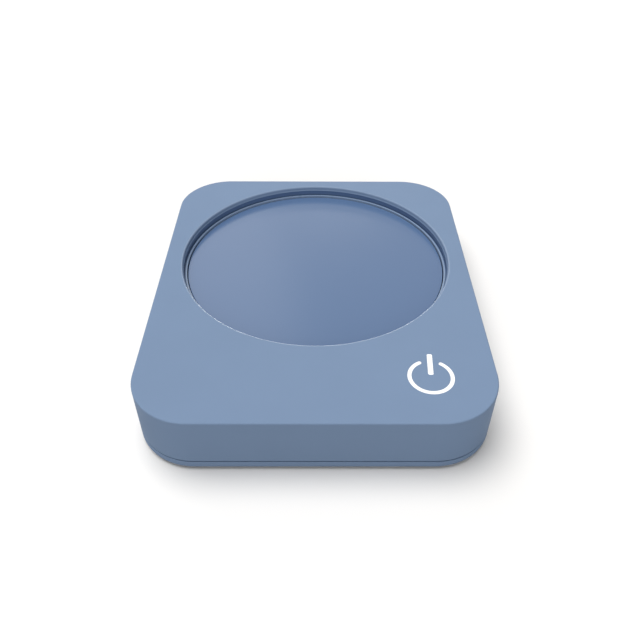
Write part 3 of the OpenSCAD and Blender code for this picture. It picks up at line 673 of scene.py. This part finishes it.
FINISHES = {
    "housing": housing_finish(),
    "collar": collar_finish_with_painted_shade(),
    "trim": trim_finish_painted_highlight(),
    "plate_glass": glass_finish(),
    "light_guide": symbol_finish(),
    "foot_rubber": rubber_finish(),
    "steel": metal_finish("screw_zinc", (0.5, 0.5, 0.52), 0.28, 0.42),
    "spring_steel": metal_finish("spring_drawn_wire", (0.42, 0.43, 0.45), 0.25, 0.38, (1, 1, 4)),
    "inlet_metal": metal_finish("inlet_satin_nickel", (0.56, 0.56, 0.57), 0.22, 0.34, (1, 5, 1)),
    "terminal_metal": metal_finish("terminal_brass", (0.62, 0.42, 0.18), 0.25, 0.36),
    "white_plastic": plastic_finish("plastic_white", (0.78, 0.78, 0.75), 0.5),
    "black_plastic": plastic_finish("plastic_black", (0.02, 0.02, 0.022), 0.48),
    "red_plastic": plastic_finish("plunger_red", (0.4, 0.035, 0.02), 0.3),
    "led": plastic_finish("led_phosphor", (0.8, 0.72, 0.4), 0.3, 900),
    "circuit_board": board_finish(),
    "capacitor_can": plastic_finish("capacitor_sleeve", (0.03, 0.035, 0.06), 0.3),
    "ceramic_chip": plastic_finish("ceramic_body", (0.1, 0.08, 0.065), 0.6, 900),
    "silicone": plastic_finish("silicone_bead", (0.66, 0.66, 0.62), 0.35),
    "spreader_metal": metal_finish("spreader_aluminium", (0.75, 0.76, 0.77), 0.25, 0.4, (8, 1, 1)),
    "film": film_finish(),
    "insulation": felt_finish(),
    "carrier_plastic": plastic_finish("carrier_filled_grey", (0.05, 0.058, 0.07), 0.5),
    "red_lead": lead_finish("lead_red", (0.35, 0.012, 0.01)),
    "black_lead": lead_finish("lead_black", (0.015, 0.015, 0.017)),
    "white_lead": lead_finish("lead_white", (0.72, 0.72, 0.7)),
}
SLOTS = {part["node"]: part["material_slot"] for part in frame["record"]["subparts"]}
for node, thing in frame["nodes"].items():
    for place in thing.material_slots:
        place.material = FINISHES[SLOTS[node]]


# ---- Top cover ----

def make_top_cover():
    bm = bmesh.new()
    section = [(COVER_WALL, SKIN_Z), (COVER_WALL, SEAT_Z)]
    section += arc_in(SMALL_R, SEAT_Z + SMALL_R, -90, 0, SMALL_STEPS)
    section += arc_in(EDGE_R, TOP_Z - EDGE_R, 0, 90, EDGE_STEPS)
    under, top = shell(bm, section)
    rim = [(THROAT_R, SKIN_Z), (RECESS_R, SKIN_Z + LIP_H)]
    rim += arc((RECESS_R + RIM_R, TOP_Z - RIM_R), RIM_R, 180, 90, RIM_STEPS)
    turned(bm, rim, 0, RECESS_Y, RECESS_STEPS)
    bmesh.ops.remove_doubles(bm, verts=bm.verts, dist=WELD)
    slots = [symbol_ring_loop(bm, SYMBOL_GAP, TOP_Z), symbol_bar_loop(bm, SYMBOL_GAP, TOP_Z)]
    floors = [carry(bm, slot, lambda co: Vector((co.x, co.y, SKIN_Z))) for slot in slots]
    fill(bm, top, ring_edges(bm, RECESS_R + RIM_R, TOP_Z, 0, RECESS_Y), *slots)
    fill(bm, under, ring_edges(bm, THROAT_R, SKIN_Z, 0, RECESS_Y), *floors)
    cut_inlet_window(bm, HALF_D, HALF_D - COVER_WALL)
    add_cover_bosses(bm)
    polish_rim(bm)
    cover = new_piece("top_cover_shell", bm, FINISHES["housing"], "housing", replaced=["top_cover"])
    cover.data.materials.append(rim_finish())


def add_cover_bosses(bm):
    """Hanging bosses for the housing screws and the collar screws."""
    screw_boss = hanging_boss(COVER_BOSS_R, BOSS_Z, COVER_BORE_R, COVER_BORE_Z)
    for x, y in CORNERS:
        turned(bm, screw_boss, x, y, POST_STEPS)
    ear_boss = hanging_boss(EAR_BOSS_R, COLLAR_Z + EAR_T, PILOT_R, EAR_PILOT_Z)
    for angle in EAR_ANGLES:
        turned(bm, ear_boss, *polar(EAR_CIRCLE, angle, 0, RECESS_Y), POST_STEPS)


def hanging_boss(radius, low, bore, bore_z):
    """Section of a boss that hangs from the skin, with a blind hole from below."""
    top = SKIN_Z + SUNK_IN_SKIN
    return [(0, bore_z), (bore, bore_z), (bore, low), (radius, low), (radius, top), (0, top)]


def polish_rim(bm):
    """Puts the rounded edge of the opening in the second material of the cover."""
    for face in bm.faces:
        middle = face.calc_center_median()
        reach = math.hypot(middle.x, middle.y - RECESS_Y)
        if reach < RECESS_R + RIM_R and TOP_Z - RIM_R < middle.z < TOP_Z - WELD:
            face.material_index = 1


def arc_in(radius, level, start, end, steps):
    """Round edge of the housing as (inset, level) points, its centre a radius in from the face."""
    return [(radius - r, z) for r, z in arc((0, level), radius, start, end, steps)]


def cut_inlet_window(bm, outer_y, inner_y):
    """Opens the back wall round the inlet, between its outer and inner faces."""
    loops = []
    for y in (outer_y, inner_y):
        wall = next(
            f for f in bm.faces
            if all(abs(v.co.y - y) < ON_WALL for v in f.verts) and f.calc_area() > LEAST_WALL_AREA
        )
        border = list(wall.edges)
        bmesh.ops.delete(bm, geom=[wall], context="FACES_ONLY")
        loop = slot_loop(bm, INLET_GAP, y)
        loops += loop
        fill(bm, border, loop, normal=(0, 1, 0))
    bmesh.ops.bridge_loops(bm, edges=loops)


# ---- Base ----

def make_base_cover():
    bm = bmesh.new()
    section = arc_in(BASE_EDGE_R, BASE_Z + BASE_EDGE_R, -90, 0, EDGE_STEPS)
    section += arc_in(SMALL_R, STRIP_Z - SMALL_R, 0, 90, SMALL_STEPS)
    section += [(GROOVE_DEPTH, STRIP_Z), (GROOVE_DEPTH, SEAT_Z), (SPIGOT_INSET, SEAT_Z)]
    section += [(SPIGOT_INSET, SPIGOT_Z), (INNER_INSET, SPIGOT_Z), (INNER_INSET, FLOOR_Z)]
    under, floor = shell(bm, section)
    for x, y in CORNERS:
        pocket = [(POCKET_R, BASE_Z), (POCKET_R, POCKET_Z), (HEAD_HOLE_R, POCKET_Z)]
        turned(bm, pocket + [(HEAD_HOLE_R, FLOOR_Z)], x, y, FOOT_STEPS)
    bmesh.ops.remove_doubles(bm, verts=bm.verts, dist=WELD)
    fill(bm, under, *[ring_edges(bm, POCKET_R, BASE_Z, x, y) for x, y in CORNERS])
    fill(bm, floor, *[ring_edges(bm, HEAD_HOLE_R, FLOOR_Z, x, y) for x, y in CORNERS])
    add_base_posts(bm)
    add_switch_cradle(bm)
    new_piece("base_cover_tray", bm, FINISHES["housing"], "housing", replaced=["base_cover"])


def add_base_posts(bm):
    """Screw tubes, posts for the two boards, and the guides of the plate."""
    tube = [(HEAD_BORE_R, SUNK_Z), (HEAD_BORE_R, HEAD_SEAT_Z), (SHANK_BORE_R, HEAD_SEAT_Z)]
    tube += [(SHANK_BORE_R, BOSS_Z), (BASE_BOSS_R, BOSS_Z), (BASE_BOSS_R, SUNK_Z)]
    for x, y in CORNERS:
        turned(bm, tube, x, y, POST_STEPS, closed=True)
    board_post = screw_post(BOARD_POST_R, BOARD_LOW.z, BOARD_PILOT_L)
    left = BOARD_LOW.x + BOARD_HOLE_INSET
    for x in (left, left + BOARD_HOLE_SPAN):
        for y in (BOARD_LOW.y + BOARD_HOLE_INSET, BOARD_HIGH.y - BOARD_HOLE_INSET):
            turned(bm, board_post, x, y, POST_STEPS)
    inlet_post = screw_post(INLET_POST_R, INLET_BOARD_LOW.z, INLET_PILOT_L)
    for x in (INLET_BOARD_LOW.x + INLET_HOLE_INSET, INLET_BOARD_HIGH.x - INLET_HOLE_INSET):
        turned(bm, inlet_post, x, INLET_BOARD_LOW.y + INLET_HOLE_INSET, POST_STEPS)
    guide = [(0, SUNK_Z), (SLEEVE_R, SUNK_Z), (SLEEVE_R, STOP_Z), (POST_R, STOP_Z)]
    guide += [(POST_R, POST_TOP_Z - POST_TIP), (POST_R - POST_TIP, POST_TOP_Z), (0, POST_TOP_Z)]
    for angle in GUIDE_ANGLES:
        turned(bm, guide, *polar(GUIDE_CIRCLE, angle, 0, RECESS_Y), POST_STEPS)


def screw_post(radius, top, depth):
    """Section of a closed post with a blind hole for a screw."""
    low = top - depth
    return [(0, low), (PILOT_R, low), (PILOT_R, top), (radius, top), (radius, SUNK_Z), (0, SUNK_Z)]


def add_switch_cradle(bm):
    """Walls round the switch, with a gate for its leads at the front."""
    inner_w = SWITCH_HIGH.x - SWITCH_LOW.x + CRADLE_ROOM
    inner_d = SWITCH_HIGH.y - SWITCH_LOW.y + CRADLE_ROOM
    outer_w = inner_w + 2 * CRADLE_WALL
    outer_d = inner_d + 2 * CRADLE_WALL
    wall_x = (inner_w + CRADLE_WALL) / 2
    wall_y = (inner_d + CRADLE_WALL) / 2
    stub_w = (outer_w - CRADLE_GATE_W) / 2
    stub_x = (CRADLE_GATE_W + stub_w) / 2
    z = SUNK_Z + CRADLE_H / 2
    block(bm, (0, RECESS_Y + wall_y, z), (outer_w, CRADLE_WALL, CRADLE_H))
    for s in (-1, 1):
        block(bm, (s * wall_x, RECESS_Y, z), (CRADLE_WALL, outer_d, CRADLE_H))
        block(bm, (s * stub_x, RECESS_Y - wall_y, z), (stub_w, CRADLE_WALL, CRADLE_H))


# ---- Collar, plate and feet ----

def make_collar():
    bm = bmesh.new()
    section = [(COLLAR_OUTER_R, COLLAR_Z), (COLLAR_OUTER_R, SKIN_Z), (COLLAR_R, SKIN_Z)]
    section += [(COLLAR_R, LEDGE_Z), (TRIM_BORE_R, LEDGE_Z), (TRIM_BORE_R, TRIM_Z), (TRIM_SEAT_R, TRIM_Z)]
    section += arc((TRIM_SEAT_R + SMALL_R, COLLAR_Z + SMALL_R), SMALL_R, 180, 270, SMALL_STEPS)
    turned(bm, section, 0, RECESS_Y, RECESS_STEPS, closed=True)
    top = COLLAR_Z + EAR_T
    ear = [(EAR_HOLE_R, COLLAR_Z), (EAR_R, COLLAR_Z), (EAR_R, top), (EAR_HOLE_R, top)]
    for angle in EAR_ANGLES:
        turned(bm, ear, *polar(EAR_CIRCLE, angle, 0, RECESS_Y), POST_STEPS, closed=True)
        middle = (EAR_LINK_R, RECESS_Y, COLLAR_Z + EAR_T / 2)
        link = block(bm, middle, (EAR_LINK_L, EAR_LINK_W, EAR_T))
        turn = Matrix.Rotation(math.radians(angle), 3, "Z")
        bmesh.ops.rotate(bm, verts=link, cent=(0, RECESS_Y, 0), matrix=turn)
    new_piece("recess_collar_ring", bm, FINISHES["collar"], "collar", replaced=["recess_collar"])


def make_trim_ring():
    bm = bmesh.new()
    r = TRIM_EDGE_R
    section = [(TRIM_OUTER_R, TRIM_Z)]
    section += arc((TRIM_OUTER_R - r, TRIM_TOP_Z - r), r, 0, 90, FINE_STEPS)
    section += arc((TRIM_R + r, TRIM_TOP_Z - r), r, 90, 180, FINE_STEPS)
    section += [(TRIM_R, TRIM_Z)]
    turned(bm, section, 0, RECESS_Y, RECESS_STEPS, closed=True)
    new_piece("plate_trim_ring", bm, FINISHES["trim"], "trim", replaced=["trim_ring"])


def make_glass():
    bm = bmesh.new()
    r = GLASS_EDGE_R
    section = [(0, GLASS_Z), (GLASS_R - r, GLASS_Z)]
    section += arc((GLASS_R - r, GLASS_Z + r), r, -90, 0, FINE_STEPS)
    section += arc((GLASS_R - r, GLASS_TOP_Z - r), r, 0, 90, GLASS_STEPS)
    section += [(0, GLASS_TOP_Z)]
    turned(bm, section, 0, RECESS_Y, RECESS_STEPS)
    new_piece(
        "hot_plate_glass", bm, FINISHES["plate_glass"], "plate_glass", "hot_plate", ["glass_plate"]
    )


def make_feet():
    names = {(-1, -1): "front_left", (1, -1): "front_right", (-1, 1): "back_left", (1, 1): "back_right"}
    r = FOOT_EDGE_R
    section = [(0, 0)] + arc((FOOT_R - r, r), r, -90, 0, FOOT_EDGE_STEPS)
    section += [(FOOT_R, FOOT_HIGH.z), (0, FOOT_HIGH.z)]
    for (sx, sy), name in names.items():
        bm = bmesh.new()
        turned(bm, section, sx * FOOT_X, sy * FOOT_Y, FOOT_STEPS)
        new_piece(
            "rubber_foot_" + name, bm, FINISHES["foot_rubber"], "foot_rubber",
            replaced=["foot_" + name]
        )


# ---- Power inlet ----

def make_inlet_shell():
    bm = bmesh.new()
    lip = SHELL_LIP
    section = [(-SHELL_T, INLET_BACK_Y), (-SHELL_T, INLET_Y - 2 * lip)]
    section += [(-SHELL_T + LIP_SLANT, INLET_Y - lip), (-SHELL_T / 2, INLET_Y)]
    section += [(-LIP_SLANT, INLET_Y - lip / 2), (0, INLET_Y - lip), (0, INLET_BACK_Y)]
    first = last = slot_loop(bm, *section[0])
    for grow, y in section[1:]:
        last = carry(bm, last, slot_point(grow, y))
    bmesh.ops.bridge_loops(bm, edges=first + last)
    leg_h = INLET_Z - SHELL_LOW.z
    for s in (-1, 1):
        for y in LEG_PLACES:
            x = s * (INLET_W - LEG_T) / 2
            block(bm, (x, INLET_BACK_Y + y, SHELL_LOW.z + leg_h / 2), (LEG_T, LEG_W, leg_h))
    new_piece(
        "inlet_drawn_shell", bm, FINISHES["inlet_metal"], "inlet_metal", replaced=["inlet_shell"]
    )


def make_inlet_contacts():
    """Two rows of flat contacts on the tongue."""
    bm = bmesh.new()
    y = INLET_BACK_Y + CONTACT_SET_BACK + CONTACT_L / 2
    for s in (-1, 1):
        for i in range(CONTACT_COUNT):
            x = (i - (CONTACT_COUNT - 1) / 2) * CONTACT_PITCH
            block(bm, (x, y, INLET_Z + s * TONGUE_T / 2), (CONTACT_W, CONTACT_L, CONTACT_T))
    new_piece("inlet_contacts", bm, FINISHES["terminal_metal"], "terminal_metal")


# ---- Springs and leads under the plate ----

def make_plate_spring(name, angle):
    bm = bmesh.new()
    x, y = polar(GUIDE_CIRCLE, angle, 0, RECESS_Y)
    low = FLOOR_Z + SPRING_WIRE
    rise = DISH_Z - FLOOR_Z - 2 * SPRING_WIRE
    wire = bmesh.ops.create_circle(
        bm, cap_ends=False, radius=SPRING_WIRE, segments=WIRE_STEPS
    )["verts"]
    upright = Matrix.Translation((x + SPRING_R, y, low)) @ Matrix.Rotation(math.pi / 2, 4, "X")
    bmesh.ops.transform(bm, matrix=upright, verts=wire)
    steps = COIL_STEPS * SPRING_TURNS
    bmesh.ops.spin(
        bm, geom=list(bm.verts) + list(bm.edges), cent=(x, y, 0), axis=(0, 0, 1),
        dvec=(0, 0, rise / steps), angle=math.tau * SPRING_TURNS, steps=steps, use_merge=False
    )
    bmesh.ops.holes_fill(bm, edges=bm.edges, sides=0)
    finish_soft("coil_" + name, bm, name)


def make_soft_leads(name):
    bm = bmesh.new()
    bm.from_mesh(frame["nodes"][name].data)
    bmesh.ops.scale(bm, vec=(1 / MM, 1 / MM, 1 / MM), verts=bm.verts)
    finish_soft("soft_" + name, bm, name)


def finish_soft(name, bm, node):
    """A piece for a spring or lead under the plate, with a mesh of its own."""
    slot = SLOTS[node]
    piece = new_piece(name, bm, FINISHES[slot], slot, replaced=[node])
    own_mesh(piece)


make_top_cover()
make_base_cover()
make_collar()
make_trim_ring()
make_glass()
make_feet()
make_inlet_shell()
make_inlet_contacts()
for spring, spring_angle in zip(("right", "left", "front"), GUIDE_ANGLES):
    make_plate_spring("plate_spring_" + spring, spring_angle)
for leads in ("heater_wires", "sensor_wires"):
    make_soft_leads(leads)


# ---- Floor, light and camera ----

# Places in metres, turns in radians, lens and sensor in millimetres
CAMERA_PLACE = (0.0003, -0.1934, 0.1720)
CAMERA_YAW = 0.0077
CAMERA_PITCH = 0.7251
CAMERA_ROLL = 0.0065
CAMERA_LENS = 37.024
SENSOR_WIDTH = 36
NEAR_CLIP = 0.01

FLOOR_REACH = 3
FLOOR_SEEN = (0.88, 0.867, 0.85)
FLOOR_LIT = (0.45, 0.45, 0.45)
SKY_LEVEL = 0.265
# Name, strength, width in degrees, direction to the light, whether it shades and whether it shines
SUNS = [
    ("key", 2.57, 46, (-0.24, 0.15, 1), True, False),
    ("side", 0.35, 40, (-0.37, 0.696, 0.616), True, True),
    ("front_fill", 1.55, 60, (0, -1, 0.15), True, False),
    ("rim_shine", 0.45, 8, (0.03, 0.951, 0.309), False, True),
]


def seen_directly(nodes, links):
    """1 for rays that show the white surroundings: camera, glossy and transmission."""
    rays = nodes.new("ShaderNodeLightPath")
    total = rays.outputs["Is Camera Ray"]
    for name in ("Is Glossy Ray", "Is Transmission Ray"):
        either = nodes.new("ShaderNodeMath")
        either.operation = "MAXIMUM"
        links.new(total, either.inputs[0])
        links.new(rays.outputs[name], either.inputs[1])
        total = either.outputs[0]
    return total


def make_world():
    world = bpy.data.worlds.new("studio")
    bpy.context.scene.world = world
    world.use_nodes = True
    nodes, links = world.node_tree.nodes, world.node_tree.links
    plain = nodes["Background"]
    set_socket(plain, "Color", (1, 1, 1, 1))
    set_socket(plain, "Strength", SKY_LEVEL)
    white = nodes.new("ShaderNodeBackground")
    set_socket(white, "Color", (1, 1, 1, 1))
    set_socket(white, "Strength", 1)
    mix = nodes.new("ShaderNodeMixShader")
    links.new(seen_directly(nodes, links), mix.inputs[0])
    links.new(plain.outputs[0], mix.inputs[1])
    links.new(white.outputs[0], mix.inputs[2])
    links.new(mix.outputs[0], nodes["World Output"].inputs["Surface"])


def make_floor():
    """A white floor that shows its own tone to the camera and another to what it lights."""
    bm = bmesh.new()
    bmesh.ops.create_grid(bm, x_segments=1, y_segments=1, size=FLOOR_REACH)
    mesh = bpy.data.meshes.new("floor")
    bm.to_mesh(mesh)
    bm.free()
    floor = bpy.data.objects.new("floor", mesh)
    bpy.context.scene.collection.objects.link(floor)
    finish = Finish("floor_white", FLOOR_LIT, 1.0)
    finish.set(Specular_IOR_Level=0.0)
    seen = seen_directly(finish.nodes, finish.links)
    finish.tone(seen, FLOOR_SEEN)
    mesh.materials.append(finish.material)


def make_sun(name, strength, width, source, shades, shines):
    sun = bpy.data.objects.new(name, bpy.data.lights.new(name, "SUN"))
    sun.data.energy = strength
    sun.data.angle = math.radians(width)
    sun.rotation_euler = Vector(source).to_track_quat("Z", "Y").to_euler()
    sun.visible_diffuse = shades
    sun.visible_glossy = shines
    bpy.context.scene.collection.objects.link(sun)


def make_camera():
    camera = bpy.data.objects.new("camera", bpy.data.cameras.new("camera"))
    camera.data.lens = CAMERA_LENS
    camera.data.sensor_width = SENSOR_WIDTH
    camera.data.clip_start = NEAR_CLIP
    forward = Vector((
        math.sin(CAMERA_YAW) * math.cos(CAMERA_PITCH),
        math.cos(CAMERA_YAW) * math.cos(CAMERA_PITCH),
        -math.sin(CAMERA_PITCH),
    ))
    right = Vector((math.cos(CAMERA_YAW), -math.sin(CAMERA_YAW), 0))
    roll = Matrix.Rotation(-CAMERA_ROLL, 3, forward)
    right = roll @ right
    up = right.cross(forward)
    turn = Matrix((right, up, -forward)).transposed().to_4x4()
    camera.matrix_world = Matrix.Translation(CAMERA_PLACE) @ turn
    bpy.context.scene.collection.objects.link(camera)
    bpy.context.scene.camera = camera


make_world()
make_floor()
for light in SUNS:
    make_sun(*light)
make_camera()
bpy.context.scene.view_settings.view_transform = "Standard"
